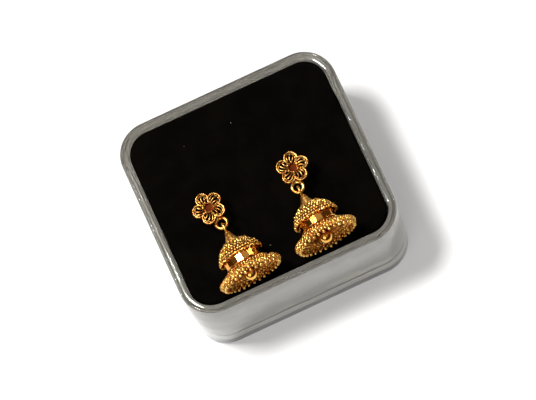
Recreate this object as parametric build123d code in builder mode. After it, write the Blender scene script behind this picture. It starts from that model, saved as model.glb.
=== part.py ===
from build123d import *
import os
from dataclasses import dataclass
from math import cos, radians, sin, sqrt

# A pair of jhumka (bell) earrings pinned on a black foam pad that fills the mouth of an open clear box.
# Millimetres, +Z up, +X to the right, the bells' mouths towards -Y.
# The origin is the middle of the box's underside.

# Clear box, open at the top
box_width = 60.4
box_depth = 54.9
box_height = 35.5
box_corner = 8.8
box_wall = 2.1
box_floor = 2.0
rim_round = 0.5
base_round = 1.2
ledge_width = 1.0

# Foam pad, held in the mouth of the box by its edge and the ledge below it
fit_gap = 0.3
pad_recess = 0.3
pad_thickness = 5.0
pad_width = box_width - 2 * (box_wall + fit_gap)
pad_depth = box_depth - 2 * (box_wall + fit_gap)
pad_corner = box_corner - box_wall - fit_gap
pad_top = box_height - pad_recess
pad_bottom = pad_top - pad_thickness
ledge_top = pad_bottom - 0.1

# Stud: a flower of five wire petals, seen from its front side
flower_height = 7.6  # petal plane above the pad
flower_tilt = 3.0  # the front face leans this many degrees towards -Y
petal_count = 5
petal_reach = 2.55  # flower's centre to a petal's centre
petal_radius = 1.85
petal_wire = 0.5
filigree_wire = 0.36
filigree_thickness = 0.5
swirl_radius = 2.4
swirl_starts = (-1.0, 23.0)  # degrees from a petal's middle to its swirls' inner ends
swirl_ends = (-21.0, 3.0)  # and to their outer ends
cup_radius = 1.3
cup_wall = 0.3
cup_depth = 0.95
granule_radius = 0.33
ring_reach = 5.3  # flower's centre to the ring's centre
ring_drop = 0.2  # petal plane to the ring's middle plane
ring_radius = 1.475
ring_wire_radius = 0.425
post_radius = 0.42
post_length = 10.5
post_tip = 0.7
post_clearance = 0.12

# Wire eye and shank, along the bell's axis from the middle of the stud's ring
eye_half_width = 0.95
eye_start = 0.88  # middle of the upper bend
eye_end = 1.4  # middle of the lower bend
eye_wire_radius = 0.31
collar_radius = 0.5
collar_start = 2.2
shank_radius = 0.25
shank_end = 6.75
shank_head_radius = 0.9
shank_head = 0.3

# Bell cap: cone and dome
cap_wall = 0.25
cap_start = 2.75
cap_start_radius = 0.62
cone_waist = (1.25, 3.8)
cone_end = (2.2, 5.4)
dome_middle = (4.55, 7.1)
dome_edge = (5.95, 10.0)
scallop_count = 24
scallop_radius = 0.36

# Bell bowl: crown under the cap, polished band, flared brim and bead fringe
bowl_wall = 0.25
crown_bore = 0.33
crown_height = 5.95
crown_shoulder = (1.6, crown_height)
crown_middle = (4.05, 7.4)
band_radius = 5.0
band_start = 9.9
band_end = 12.0
brim_middle = (6.2, 13.2)
brim_edge = (8.3, 14.35)
bead_count = 32
bead_radius = 0.54
bead_ring_radius = 8.33
bead_rows = (14.8, 15.8)

# Clapper: ball on a wire
ball_radius = 1.95
ball_drop = 1.8
ball_position = 14.4
hanger_radius = 0.2
hanger_start = 7.05
hanger_drop = 0.7

# Hollow that each bell presses in the foam
dent_clearance = 0.3
dent_start = 12.5
dent_shoulder = 5.7
dent_runout = (6.4, 19.1)


@dataclass(frozen=True)
class Place:
    """Where one earring is pinned, with the turns of its flower and its bell in degrees."""

    side: str
    x: float
    y: float
    flower_turn: float
    bell_turn: float
    bell_dip: float  # the mouth end of the bell's axis goes down by this angle
    bell_slip: float  # the bell hangs this far below the ring's centre


places = (
    Place(
        side="left", x=-14.2, y=-3.0, flower_turn=15.0, bell_turn=5.7, bell_dip=3.0, bell_slip=0.3
    ),
    Place(
        side="right", x=9.7, y=-2.7, flower_turn=-10.5, bell_turn=5.0, bell_dip=0.0, bell_slip=0.0
    ),
)


def polar_point(radius, angle):
    """Point at a radius and an angle in degrees from the X axis."""
    return (radius * cos(radians(angle)), radius * sin(radians(angle)))


def petal_rim_reach(angle):
    """Distance from the flower's centre to the middle of a petal's wire, this many degrees off the petal."""
    rim_radius = petal_radius - petal_wire / 2
    aside = petal_reach * sin(radians(angle))
    return petal_reach * cos(radians(angle)) + sqrt(rim_radius**2 - aside**2)


def stud_plane(place):
    """Plane of the petals: origin at the flower's centre, -Y towards the ring, Z out of the front."""
    tilt = radians(flower_tilt)
    flat = Plane(
        origin=(place.x, place.y, pad_top + flower_height),
        x_dir=(1, 0, 0),
        z_dir=(0, -sin(tilt), cos(tilt)),
    )
    return flat.rotated((0, 0, place.flower_turn))


def bell_plane(place):
    """Plane across the bell: origin near the ring's centre, Y away from the pad, Z to the mouth."""
    turn = radians(place.bell_turn)
    dip = radians(place.bell_dip)
    axis = Vector(sin(turn) * cos(dip), -cos(turn) * cos(dip), -sin(dip))
    ring_centre = stud_plane(place).from_local_coords(Vector(0, -ring_reach, -ring_drop))
    origin = ring_centre + axis * place.bell_slip
    return Plane(origin=origin, x_dir=(cos(turn), sin(turn), 0), z_dir=axis)


def profile_plane(plane):
    """Plane through the axis of a bell: X is the radius and Y the distance along the axis."""
    return Plane(origin=plane.origin, x_dir=plane.x_dir, z_dir=-plane.y_dir)


def bell_axis(plane):
    """Axis of a bell."""
    return Axis(plane.origin, plane.z_dir)


def make_box():
    """Open moulded box with an inner ledge under the pad."""
    with BuildPart() as box:
        with BuildSketch():
            RectangleRounded(box_width, box_depth, box_corner)
        extrude(amount=box_height)
        with BuildSketch(Plane.XY.offset(ledge_top)):
            RectangleRounded(box_width - 2 * box_wall, box_depth - 2 * box_wall, box_corner - box_wall)
        extrude(amount=box_height - ledge_top, mode=Mode.SUBTRACT)
        inset = box_wall + ledge_width
        with BuildSketch(Plane.XY.offset(box_floor)):
            RectangleRounded(box_width - 2 * inset, box_depth - 2 * inset, box_corner - inset)
        extrude(amount=box_height - box_floor, mode=Mode.SUBTRACT)
        fillet(box.faces().sort_by(Axis.Z)[-1].edges(), radius=rim_round)
        fillet(box.faces().sort_by(Axis.Z)[0].edges(), radius=base_round)
    return box.part


def make_pad():
    """Foam pad with a hole for each post and a hollow under each bell."""
    with BuildPart() as pad:
        with BuildSketch(Plane.XY.offset(pad_bottom)):
            RectangleRounded(pad_width, pad_depth, pad_corner)
        extrude(amount=pad_thickness)
        for place in places:
            with BuildSketch(stud_plane(place)):
                Circle(post_radius + post_clearance)
            extrude(amount=-2 * (flower_height + pad_thickness), mode=Mode.SUBTRACT)
            across = bell_plane(place)
            rim = bead_ring_radius + bead_radius + dent_clearance
            fringe_end = bead_rows[-1] + bead_radius + dent_clearance
            with BuildSketch(profile_plane(across)):
                with BuildLine():
                    Polyline(
                        (0, dent_start),
                        (dent_shoulder, dent_start),
                        (rim, bead_rows[0] - bead_radius - dent_clearance),
                        (rim, fringe_end),
                        dent_runout,
                        (0, dent_runout[1]),
                        close=True,
                    )
                make_face()
            revolve(axis=bell_axis(across), mode=Mode.SUBTRACT)
    return pad.part


def make_stud(place):
    """Filigree flower, its cup, granules, ring and ear post, soldered together."""
    front = stud_plane(place)
    petal_offset = 90
    with BuildPart(front) as stud:
        with BuildSketch(front.offset(-filigree_thickness)):
            with PolarLocations(petal_reach, petal_count, start_angle=petal_offset):
                Circle(petal_radius)
            with PolarLocations(petal_reach, petal_count, start_angle=petal_offset):
                Circle(petal_radius - petal_wire, mode=Mode.SUBTRACT)
            for petal in range(petal_count):
                middle = petal_offset + petal * 360 / petal_count
                for start, end in zip(swirl_starts, swirl_ends):
                    inner = polar_point(cup_radius - cup_wall / 2, middle + start)
                    outer = polar_point(petal_rim_reach(end), middle + end)
                    with BuildLine(mode=Mode.PRIVATE) as swirl:
                        RadiusArc(inner, outer, -swirl_radius)
                    SlotArc(swirl.edges()[0], filigree_wire)
            Circle(cup_radius - cup_wall, mode=Mode.SUBTRACT)
        extrude(amount=filigree_thickness)
        with BuildSketch(front.offset(-cup_depth)):
            Circle(cup_radius)
        extrude(amount=cup_depth)
        with BuildSketch(front):
            Circle(cup_radius - cup_wall)
        extrude(amount=cup_wall - cup_depth, mode=Mode.SUBTRACT)
        granule_turn = petal_offset + 180 / petal_count
        with PolarLocations(cup_radius + granule_radius, petal_count, start_angle=granule_turn):
            Sphere(granule_radius)
        with Locations((0, -ring_reach, -ring_drop)):
            Torus(ring_radius, ring_wire_radius)
        with BuildSketch(front.offset(-cup_depth)):
            Circle(post_radius)
        extrude(amount=post_tip - post_length)
        with Locations((0, 0, post_tip / 2 - cup_depth - post_length)):
            Cone(bottom_radius=post_radius / 2, top_radius=post_radius, height=post_tip)
    return stud.part


def make_eye_pin(place):
    """Wire eye with a collar, and its shank through the bell with a flat head."""
    across = bell_plane(place)
    eye_plane = Plane(origin=across.origin, x_dir=across.y_dir, z_dir=across.x_dir)
    with BuildPart(across) as pin:
        with BuildLine(eye_plane) as loop:
            top = CenterArc((0, eye_start), eye_half_width, 180, 180)
            side = Line(top @ 1, (eye_half_width, eye_end))
            bottom = CenterArc((0, eye_end), eye_half_width, 0, 180)
            Line(bottom @ 1, top @ 0)
        with BuildSketch(Plane(origin=side @ 0.5, z_dir=across.z_dir)):
            Circle(eye_wire_radius)
        sweep(path=loop.wires()[0])
        with BuildSketch(across.offset(collar_start)):
            Circle(collar_radius)
        extrude(amount=cap_start - 0.05 - collar_start)
        with BuildSketch(across.offset(collar_start)):
            Circle(shank_radius)
        extrude(amount=shank_end - collar_start)
        with BuildSketch(across.offset(shank_end - shank_head)):
            Circle(shank_head_radius)
        extrude(amount=shank_head)
    return pin.part


def make_cap(place):
    """Cone and dome in one thin shell, with a scalloped lower edge."""
    across = bell_plane(place)
    with BuildPart(across) as cap:
        with BuildSketch(profile_plane(across)):
            with BuildLine():
                ThreePointArc((cap_start_radius, cap_start), cone_waist, cone_end)
                ThreePointArc(cone_end, dome_middle, dome_edge)
                offset(amount=cap_wall, side=Side.LEFT)
            make_face()
        revolve(axis=bell_axis(across))
        with Locations((0, 0, dome_edge[1])):
            with PolarLocations(dome_edge[0], scallop_count):
                Cylinder(scallop_radius, 4 * cap_wall, rotation=(0, 90, 0), mode=Mode.SUBTRACT)
    return cap.part


def make_bowl(place):
    """Crown, polished band, flared brim and the fringe of beads soldered to it."""
    across = bell_plane(place)
    with BuildPart(across) as bowl:
        with BuildSketch(profile_plane(across)):
            with BuildLine():
                Line((crown_bore, crown_height), crown_shoulder)
                ThreePointArc(crown_shoulder, crown_middle, (band_radius, band_start))
                Line((band_radius, band_start), (band_radius, band_end))
                ThreePointArc((band_radius, band_end), brim_middle, brim_edge)
                offset(amount=bowl_wall, side=Side.LEFT)
            make_face()
        revolve(axis=bell_axis(across))
        for row in bead_rows:
            with Locations((0, 0, row)):
                with PolarLocations(bead_ring_radius, bead_count):
                    Sphere(bead_radius)
    return bowl.part


def make_clapper(place):
    """Polished ball and the wire that it hangs on inside the bell."""
    across = bell_plane(place)
    top = across.from_local_coords((0, -hanger_drop, hanger_start))
    centre = across.from_local_coords((0, -ball_drop, ball_position))
    with BuildPart(across) as clapper:
        with Locations((0, -ball_drop, ball_position)):
            Sphere(ball_radius)
        with BuildLine() as wire:
            Line(top, centre)
        with BuildSketch(Plane(origin=top, z_dir=wire.line % 0)):
            Circle(hanger_radius)
        sweep(path=wire.line)
    return clapper.part


def save(label, part):
    """Label a finished piece and write it to its own file."""
    part.label = label
    export_step(part, f"parts/{label}.step")


os.makedirs("parts", exist_ok=True)
save("clear_box", make_box())
save("foam_pad", make_pad())
for earring in places:
    save(f"{earring.side}_stud", make_stud(earring))
    save(f"{earring.side}_eye_pin", make_eye_pin(earring))
    save(f"{earring.side}_bell_cap", make_cap(earring))
    save(f"{earring.side}_bell_bowl", make_bowl(earring))
    save(f"{earring.side}_clapper", make_clapper(earring))
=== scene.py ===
"""A pair of gold jhumka earrings pinned on a black foam pad in an open clear box.

Sizes are in millimetres in each piece's own frame. The matrix that places a piece also turns them into
metres.
"""

import logging
import math
from collections.abc import Callable, Sequence
from dataclasses import dataclass
from enum import Enum, IntEnum
from typing import ClassVar

import bmesh
import bpy
from bmesh.types import BMEdge, BMesh, BMFace, BMVert
from bpy.types import ID, Material, Mesh, Node, NodeSocket, NodeTree, Object
from mathutils import Matrix, Vector, noise

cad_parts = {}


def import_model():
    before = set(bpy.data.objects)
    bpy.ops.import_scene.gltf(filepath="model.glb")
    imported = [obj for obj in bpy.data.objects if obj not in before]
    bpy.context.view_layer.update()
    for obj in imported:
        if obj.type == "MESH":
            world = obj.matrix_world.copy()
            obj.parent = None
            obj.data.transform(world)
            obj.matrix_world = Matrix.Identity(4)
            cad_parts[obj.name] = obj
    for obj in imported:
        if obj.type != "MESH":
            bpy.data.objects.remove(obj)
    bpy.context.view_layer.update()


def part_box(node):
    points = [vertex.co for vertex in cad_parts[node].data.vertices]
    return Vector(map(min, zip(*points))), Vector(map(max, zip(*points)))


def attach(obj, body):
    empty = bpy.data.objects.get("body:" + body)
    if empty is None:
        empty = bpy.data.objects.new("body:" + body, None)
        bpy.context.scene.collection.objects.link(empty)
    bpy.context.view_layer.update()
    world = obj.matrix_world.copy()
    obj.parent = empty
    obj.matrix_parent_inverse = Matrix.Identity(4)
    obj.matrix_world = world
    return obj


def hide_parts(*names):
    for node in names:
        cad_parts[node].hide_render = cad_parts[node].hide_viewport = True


LOG = logging.getLogger("jhumka_pair")
MM = 0.001
NOISE_OFFSETS = (Vector((9.3, -1.5, -8.0)), Vector((-7.1, 4.6, 2.4)), Vector((3.8, 8.2, -5.7)))

UP = Vector((0, 0, 1))
SLACK = 1e-9  # room for the rounding of sums
WELD = 1e-5  # corners nearer to each other than this are one
SAME_LEVEL = 1e-4  # heights nearer to each other than this are one
PAD_CLEARANCE = 0.1  # gap between the pad and the ledge that it lies on
ROPE_TWIST = 4  # length of one twist, as a multiple of half the rope's width
ROPE_STRAND = 0.56  # a strand's radius as a share of half the rope's width

TOOTH_FINENESS = 2.7  # how much finer the tooth of a worked surface is than its lumps
DRIFT_RANGE = (0.42, 0.62)  # part of the drift over which a tone goes from bright to deep
MIX_INPUTS = (0, 6, 7)  # share and the two colours, among the inputs of a colour mix

Colour = tuple[float, float, float]
Point = tuple[float, float]


class Side(Enum):
    """The two earrings, as seen from the front of the box."""

    LEFT = "left"
    RIGHT = "right"


class Slot(Enum):
    """Material slots of the record."""

    CLEAR_PLASTIC = "clear_plastic"
    BLACK_FOAM = "black_foam"
    GOLD_FILIGREE = "gold_filigree"
    GOLD_WIRE = "gold_wire"
    GOLD_GRANULATED = "gold_granulated"
    GOLD_BEADED = "gold_beaded"
    GOLD_POLISHED = "gold_polished"


# ---------------------------------------------------------------------------
# Outlines and paths
# ---------------------------------------------------------------------------


def arc_points(start: Point, middle: Point, end: Point, steps: int) -> list[Point]:
    """Points along the arc through three points.

    Args:
        start: First point.
        middle: Any point of the arc between its ends.
        end: Last point.
        steps: Number of equal steps along the arc.

    Returns:
        The steps + 1 points, both ends among them.
    """
    (ax, ay), (bx, by), (cx, cy) = start, middle, end
    twice_area = 2 * (ax * (by - cy) + bx * (cy - ay) + cx * (ay - by))
    squares = [x * x + y * y for x, y in (start, middle, end)]
    ux = (squares[0] * (by - cy) + squares[1] * (cy - ay) + squares[2] * (ay - by)) / twice_area
    uy = (squares[0] * (cx - bx) + squares[1] * (ax - cx) + squares[2] * (bx - ax)) / twice_area
    radius = math.hypot(ax - ux, ay - uy)
    first = math.atan2(ay - uy, ax - ux)
    to_middle = (math.atan2(by - uy, bx - ux) - first) % math.tau
    to_end = (math.atan2(cy - uy, cx - ux) - first) % math.tau
    sweep_angle = to_end if to_middle < to_end else to_end - math.tau
    angles = [first + sweep_angle * step / steps for step in range(steps + 1)]
    return [(ux + radius * math.cos(angle), uy + radius * math.sin(angle)) for angle in angles]


def outline_normals(points: Sequence[Point]) -> list[Point]:
    """Unit normals to the left of an open outline.

    Args:
        points: The outline's points in order.

    Returns:
        One normal for each point, the mean of its two runs' normals.
    """
    normals = []
    for index in range(len(points)):
        before = points[max(index - 1, 0)]
        after = points[min(index + 1, len(points) - 1)]
        run = Vector((after[0] - before[0], after[1] - before[1])).normalized()
        normals.append((-run.y, run.x))
    return normals


def wall_outline(points: Sequence[Point], thickness: float) -> list[Point]:
    """Closed outline of a thin wall, from its outer side.

    Args:
        points: Outer side of the wall, in order, with the inner side to its left.
        thickness: Thickness of the wall.

    Returns:
        The outer points and then the inner ones, back to the start.
    """
    normals = outline_normals(points)
    inner = [(p[0] + n[0] * thickness, p[1] + n[1] * thickness) for p, n in zip(points, normals)]
    return [*points, *reversed(inner)]


def spaced_along(points: Sequence[Point], spacing: float) -> list[tuple[Point, Point]]:
    """Evenly spaced places along an outline.

    Args:
        points: The outline's points in order.
        spacing: Wanted distance between two places.

    Returns:
        Pairs of a point and the outward normal there, from one end to the other.
    """
    normals = outline_normals(points)
    lengths = [0.0]
    for first, second in zip(points, points[1:]):
        lengths.append(lengths[-1] + math.dist(first, second))
    count = max(1, round(lengths[-1] / spacing))
    places = []
    for step in range(count + 1):
        wanted = lengths[-1] * step / count
        index = next(i for i in range(1, len(points)) if lengths[i] >= wanted - SLACK)
        share = (wanted - lengths[index - 1]) / (lengths[index] - lengths[index - 1])
        point = Vector(points[index - 1]).lerp(Vector(points[index]), share)
        normal = Vector(normals[index - 1]).lerp(Vector(normals[index]), share)
        places.append(((point.x, point.y), (-normal.x, -normal.y)))
    return places


def on_circle(
    radius: float, angle: float, height: float = 0.0, centre: Point = (0.0, 0.0)
) -> Vector:
    """Point of a level circle.

    Args:
        radius: Radius of the circle.
        angle: Angle of the point from the X axis, in radians.
        height: Height of the circle.
        centre: Its centre, across and along.

    Returns:
        The point.
    """
    return Vector((centre[0] + radius * math.cos(angle), centre[1] + radius * math.sin(angle), height))


def circle_path(radius: float, steps: int, height: float = 0.0) -> list[Vector]:
    """Points of a full circle about the Z axis, without its closing point."""
    return [on_circle(radius, math.tau * step / steps, height) for step in range(steps)]


def arc_path(centre: Point, radius: float, start: float, end: float, steps: int) -> list[Vector]:
    """Points of a flat arc in the XY plane.

    Args:
        centre: Centre of the arc.
        radius: Its radius.
        start: Angle of its first point from the X axis, in radians.
        end: Angle of its last point.
        steps: Number of equal steps along it.

    Returns:
        The steps + 1 points.
    """
    angles = [start + (end - start) * step / steps for step in range(steps + 1)]
    return [on_circle(radius, angle, centre=centre) for angle in angles]


def frame_of(origin: Vector, across: Vector, up: Vector, along: Vector) -> Matrix:
    """Frame with its origin at a point and its X, Y and Z axes in three directions."""
    return Matrix.Translation(origin) @ Matrix((across, up, along)).transposed().to_4x4()


def turned(degrees: float, axis: str = "Z") -> Matrix:
    """Turn about one of the axes."""
    return Matrix.Rotation(math.radians(degrees), 4, axis)


def path_frames(path: Sequence[Vector], up: Vector, closed: bool) -> list[Matrix]:
    """Frames along a path, with Z along it and Y as near as may be to a given direction.

    Args:
        path: Points of the path.
        up: Direction that the frames' Y axes lean to.
        closed: Whether the last point joins the first.

    Returns:
        One matrix for each point.
    """
    frames = []
    last = len(path) - 1
    for index, point in enumerate(path):
        before = path[index - 1] if closed or index else point
        after = path[(index + 1) % len(path)] if closed or index < last else point
        along = (after - before).normalized()
        across = up.cross(along).normalized()
        frames.append(frame_of(point, across, along.cross(across), along))
    return frames


# ---------------------------------------------------------------------------
# Meshes
# ---------------------------------------------------------------------------


def only(kind: type, geometry: Sequence) -> list:
    """The items of one kind among an operator's results."""
    return [item for item in geometry if isinstance(item, kind)]


def spin_round(bm: BMesh, geometry: Sequence, angle: float, steps: int, copies: bool) -> None:
    """Spins geometry about the Z axis.

    Args:
        bm: Mesh to change.
        geometry: What is spun.
        angle: Angle of the whole spin, in radians.
        steps: Number of steps in it.
        copies: Whether each step is a separate copy, and not joined to the last by faces.
    """
    bmesh.ops.spin(
        bm,
        geom=geometry,
        cent=(0, 0, 0),
        axis=(0, 0, 1),
        dvec=(0, 0, 0),
        angle=angle,
        steps=steps,
        use_merge=not copies,
        use_duplicate=copies,
    )


def revolve(outline: Sequence[Point], steps: int, closed: bool = True) -> BMesh:
    """Turns an outline about the Z axis.

    Args:
        outline: Points as (radius, height).
        steps: Number of steps round the axis.
        closed: Whether the outline's last point joins its first.

    Returns:
        The new mesh, with its doubles merged and its faces outwards.
    """
    bm = bmesh.new()
    verts = [bm.verts.new((radius, 0.0, height)) for radius, height in outline]
    ends = verts[1:] + verts[:1] if closed else verts[1:]
    edges = [bm.edges.new(pair) for pair in zip(verts, ends)]
    spin_round(bm, verts + edges, math.tau, steps, copies=False)
    bmesh.ops.remove_doubles(bm, verts=bm.verts, dist=WELD)
    bmesh.ops.recalc_face_normals(bm, faces=bm.faces)
    return bm


def repeat_round(bm: BMesh, count: int) -> BMesh:
    """Repeats all of a mesh in equal steps round the Z axis.

    Args:
        bm: Mesh to repeat, which is changed.
        count: Number of copies in the full turn, the first among them.

    Returns:
        The same mesh.
    """
    everything = [*bm.verts, *bm.edges, *bm.faces]
    spin_round(bm, everything, math.tau * (count - 1) / count, count - 1, copies=True)
    return bm


def wire(
    path: Sequence[Vector],
    radius: float,
    sides: int = 8,
    closed: bool = False,
    up: Vector = UP,
    height: float = 1.0,
) -> BMesh:
    """Sweeps a round or flattened wire along a path.

    Args:
        path: Points of the wire's middle line.
        radius: Half of its width.
        sides: Number of sides of its section.
        closed: Whether the wire joins its own start.
        up: Direction of the section's height.
        height: Height of the section as a share of its width.

    Returns:
        The new mesh, with closed ends or joined round.
    """
    frames = path_frames(path, up, closed)
    section = Matrix.Diagonal((1, height, 1, 1))
    bm = bmesh.new()
    bmesh.ops.create_circle(
        bm, cap_ends=not closed, radius=radius, segments=sides, matrix=frames[0] @ section
    )
    first_ring = ring = list(bm.edges)
    for before, after in zip(frames, frames[1:]):
        made = bmesh.ops.extrude_edge_only(bm, edges=ring)["geom"]
        ring = only(BMEdge, made)
        bmesh.ops.transform(bm, matrix=after @ before.inverted(), verts=only(BMVert, made))
    if closed:
        bmesh.ops.bridge_loops(bm, edges=first_ring + ring)
    else:
        bmesh.ops.contextual_create(bm, geom=ring)
    bmesh.ops.recalc_face_normals(bm, faces=bm.faces)
    return bm


def rope_ring(path: Sequence[Vector], thickness: float) -> list[BMesh]:
    """Two wires twisted round each other along a closed path.

    Args:
        path: Points of the rope's middle line, close enough together to follow the twist.
        thickness: Half of the rope's full width.

    Returns:
        One mesh for each of the two wires.
    """
    frames = path_frames(path, UP, closed=True)
    length = sum((second - first).length for first, second in zip(path, [*path[1:], path[0]]))
    twists = round(length / (ROPE_TWIST * thickness))
    strands = []
    for start in (0.0, math.pi):
        strand = [
            frame @ (on_circle(1, start + math.tau * twists * index / len(path)) * thickness * 0.5)
            for index, frame in enumerate(frames)
        ]
        strands.append(wire(strand, thickness * ROPE_STRAND, sides=6, closed=True))
    return strands


def ball(centre: Vector, radius: float, fineness: int = 2, squash: float = 1.0) -> BMesh:
    """Round grain or bead.

    Args:
        centre: Its middle.
        radius: Its radius.
        fineness: Number of subdivisions of the icosahedron that it starts from.
        squash: Its height as a share of its width.

    Returns:
        The new mesh.
    """
    bm = bmesh.new()
    place = Matrix.Translation(centre) @ Matrix.Diagonal((1, 1, squash, 1))
    bmesh.ops.create_icosphere(bm, subdivisions=fineness, radius=radius, matrix=place)
    return bm


def grain_ring(radius: float, height: float, grain: float, pitch: float, shift: float = 0.0) -> BMesh:
    """Ring of grains soldered side by side about the Z axis.

    Args:
        radius: Radius of the ring through the grains' middles.
        height: Height of the grains' middles.
        grain: Radius of one grain.
        pitch: Distance from one grain to the next.
        shift: Turn of the ring, as a share of the pitch.

    Returns:
        The new mesh.
    """
    count = round(math.tau * radius / pitch)
    return repeat_round(ball(on_circle(radius, math.tau * shift / count, height), grain), count)


def noise_shift(spot: Vector) -> Vector:
    """Smooth noise along each axis, and the same on every run."""
    return Vector([noise.noise(spot + offset) for offset in NOISE_OFFSETS])


def unsettle(bm: BMesh, reach: float, wave_length: float, start: Vector) -> BMesh:
    """Shifts and bends repeated small shapes a little, so that no two are the same.

    Args:
        bm: Mesh to change.
        reach: Furthest that a point moves.
        wave_length: Distance over which the moves change.
        start: Place in the noise where the mesh's origin falls.

    Returns:
        The same mesh.
    """
    for vert in bm.verts:
        vert.co += noise_shift(vert.co / wave_length + start) * reach
    return bm


def rounded_slab(
    width: float, depth: float, low: float, high: float, corner: float, segments: int
) -> BMesh:
    """Upright block with rounded vertical edges.

    Args:
        width: Size along X.
        depth: Size along Y.
        low: Height of its underside.
        high: Height of its top.
        corner: Radius of the vertical edges.
        segments: Number of steps round each corner.

    Returns:
        The new mesh.
    """
    bm = bmesh.new()
    place = Matrix.Translation((0, 0, (low + high) / 2))
    place @= Matrix.Diagonal((width, depth, high - low, 1))
    bmesh.ops.create_cube(bm, size=1, matrix=place)
    round_edges(bm, upright_edges(bm, least=(high - low) / 2), corner, segments)
    return bm


def upright_edges(bm: BMesh, least: float) -> list[BMEdge]:
    """Edges of a mesh that rise by more than a given height."""
    return [edge for edge in bm.edges if abs(edge.verts[0].co.z - edge.verts[1].co.z) > least]


def round_edges(bm: BMesh, edges: Sequence[BMEdge], radius: float, segments: int) -> None:
    """Rounds edges of a mesh.

    Args:
        bm: Mesh to change.
        edges: Edges to round.
        radius: Radius of the rounding.
        segments: Number of steps round it.
    """
    bmesh.ops.bevel(
        bm,
        geom=list(edges),
        offset=radius,
        offset_type="OFFSET",
        segments=segments,
        profile=0.5,
        affect="EDGES",
        material=-1,
        clamp_overlap=False,
    )


def finished_mesh(bm: BMesh, name: str) -> Mesh:
    """Turns a mesh under construction into a finished one.

    Args:
        bm: The mesh under construction, which is freed.
        name: Name of the finished mesh.

    Returns:
        The finished mesh.
    """
    mesh = bpy.data.meshes.new(name)
    bm.to_mesh(mesh)
    bm.free()
    return mesh


def linked(name: str, data: ID) -> Object:
    """Adds an object to the scene.

    Args:
        name: Name of the object.
        data: Mesh, light or camera that it shows.

    Returns:
        The new object.
    """
    made = bpy.data.objects.new(name, data)
    bpy.context.scene.collection.objects.link(made)
    return made


class Joiner:
    """Joins small meshes into one piece, each with its own finish."""

    def __init__(self, *parts: BMesh) -> None:
        """Starts a piece.

        Args:
            parts: Parts that are in place already and have the first finish.
        """
        self.bm = bmesh.new()
        for part in parts:
            self.add(part)

    def add(
        self, part: BMesh, place: Matrix | None = None, finish: int = 0, smooth: bool = True
    ) -> None:
        """Adds a part and frees it.

        Args:
            part: The part, in its own frame.
            place: Its place in the piece.
            finish: Index of its finish among the piece's materials.
            smooth: Whether its faces are shaded smooth.
        """
        if place is not None:
            bmesh.ops.transform(part, matrix=place, verts=part.verts)
        for face in part.faces:
            face.material_index = finish
            face.smooth = smooth
        mesh = finished_mesh(part, "part")
        self.bm.from_mesh(mesh)
        bpy.data.meshes.remove(mesh)

    def piece(
        self,
        name: str,
        place: Matrix,
        materials: Sequence[Material],
        slot: Slot,
        replaces: Sequence[str] = (),
    ) -> Object:
        """Makes the piece's object, at the origin and riding on the part's one body.

        Args:
            name: Name of the piece.
            place: Matrix from the piece's frame, in millimetres, to the row frame, in metres.
            materials: Its finishes, in the order of the parts' indices.
            slot: Slot of the record; not used.
            replaces: CAD nodes that it stands for.

        Returns:
            The new object.
        """
        self.bm.transform(place)
        mesh = finished_mesh(self.bm, name)
        for material in materials:
            mesh.materials.append(material)
        piece = linked(name, mesh)
        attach(piece, "root")
        if replaces:
            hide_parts(*replaces)
        triangles = sum(len(polygon.vertices) - 2 for polygon in mesh.polygons)
        LOG.info("%s: %d triangles", name, triangles)
        return piece


# ---------------------------------------------------------------------------
# Shared shader effects
# ---------------------------------------------------------------------------


@dataclass
class NodeDesk:
    """Puts nodes in a tree, one beside the other, and links them."""

    tree: NodeTree
    placed: int = 0
    spacing: float = 220.0

    def add(self, kind: str, **settings: object) -> Node:
        """Adds a node.

        Args:
            kind: Its type's name.
            settings: Properties to set on it.

        Returns:
            The new node.
        """
        node = self.tree.nodes.new(kind)
        node.location = (self.spacing * self.placed, 0)
        self.placed += 1
        for name, value in settings.items():
            setattr(node, name, value)
        return node

    def put(self, socket: NodeSocket, value: object) -> None:
        """Sets an input.

        Args:
            socket: The input.
            value: An output that it follows, or a value of its own.
        """
        if isinstance(value, NodeSocket):
            self.tree.links.new(value, socket)
        else:
            socket.default_value = value

    def feed(self, node: Node, **values: object) -> Node:
        """Gives a node's inputs their values.

        Args:
            node: The node.
            values: Input names, with _ for a space, and a number, colour or output for each.

        Returns:
            The same node.
        """
        for name, value in values.items():
            self.put(node.inputs[name.replace("_", " ")], value)
        return node

    def maths(self, operation: str, *values: object) -> NodeSocket:
        """Adds a Math node.

        Args:
            operation: Name of the sum.
            values: Numbers or outputs that it takes.

        Returns:
            Its output.
        """
        node = self.add("ShaderNodeMath", operation=operation)
        for socket, value in zip(node.inputs, values):
            self.put(socket, value)
        return node.outputs[0]

    def blend(self, share: object, first: object, second: object) -> NodeSocket:
        """Adds a colour mix.

        Args:
            share: Share of the second colour, a number or an output.
            first: First colour, a tuple or an output.
            second: Second colour.

        Returns:
            Its output.
        """
        node = self.add("ShaderNodeMix", data_type="RGBA")
        factor, first_colour, second_colour = (node.inputs[index] for index in MIX_INPUTS)
        self.put(factor, share)
        self.put(first_colour, first)
        self.put(second_colour, second)
        return node.outputs[2]

    def ramp(self, value: NodeSocket, **limits: object) -> NodeSocket:
        """Adds a Map Range node, whose limits are From_Min, From_Max, To_Min and To_Max."""
        return self.feed(self.add("ShaderNodeMapRange"), Value=value, **limits).outputs[0]

    def effect(self, group: NodeTree, **values: object) -> Node:
        """Places a shared effect with its own values."""
        return self.feed(self.add("ShaderNodeGroup", node_tree=group), **values)


def opaque(colour: Colour) -> tuple[float, float, float, float]:
    """A colour with full alpha."""
    return (*colour, 1.0)


@dataclass(frozen=True)
class GroupSocket:
    """One input or output of a shared effect."""

    name: str
    value: float | None = None
    kind: str = "NodeSocketFloat"


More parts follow.
